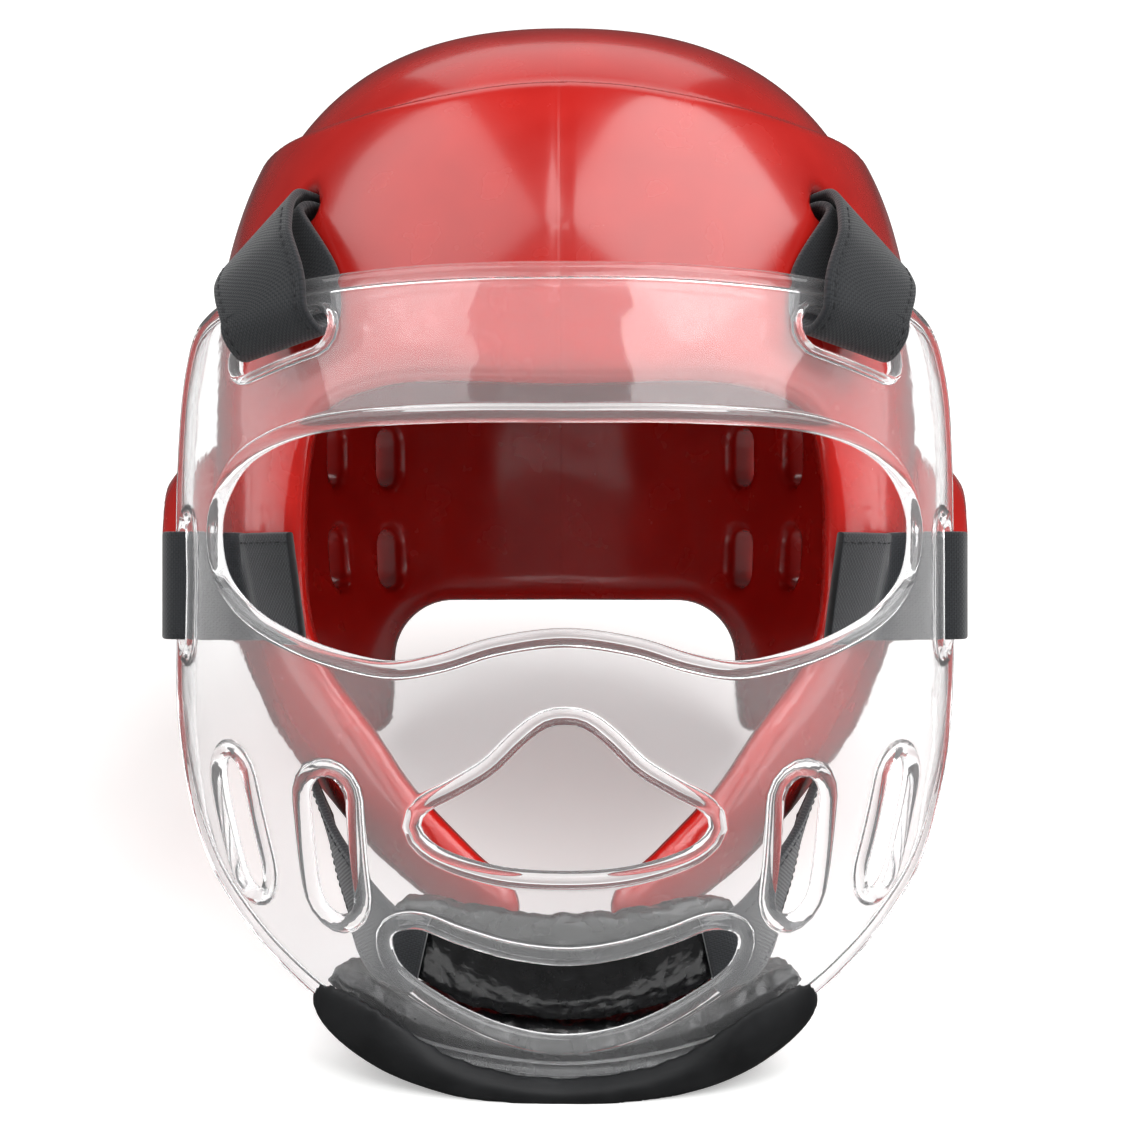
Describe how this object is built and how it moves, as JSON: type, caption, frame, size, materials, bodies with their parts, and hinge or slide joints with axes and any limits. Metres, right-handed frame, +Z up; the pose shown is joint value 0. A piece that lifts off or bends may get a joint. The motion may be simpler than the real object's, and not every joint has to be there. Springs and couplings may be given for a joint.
{
  "type": "karate headgear with clear face shield",
  "caption": "Red dipped-foam karate headgear with a clear face shield on hook-and-loop straps, a chin strap with cup and a black foam chin pad.",
  "frame": {"origin": "centre of the bounding box's base, on the surface that the headgear stands on", "axes": "+X to the viewer's right across the face, +Y from the face to the back, +Z up; the head leans back as the headgear rests"},
  "size_m": [0.2186, 0.2748, 0.2193],
  "materials": {
    "dipped_foam": "glossy dipped vinyl skin over foam",
    "clear_shield": "clear moulded plastic with thick bright beads",
    "foam_pad": "matte closed-cell foam with a creased glossy inner face",
    "pad_vinyl": "creased glossy vinyl",
    "webbing": "woven hook-and-loop band"
  },
  "bodies": {
    "root": {"helmet_shell": "dipped_foam", "face_shield": "clear_shield", "chin_pad": "foam_pad", "chin_cup": "pad_vinyl", "upper_strap_left": "webbing", "upper_strap_right": "webbing", "side_strap_left": "webbing", "side_strap_right": "webbing", "chin_strap_left": "webbing", "chin_strap_right": "webbing"}
  },
  "joints": []
}
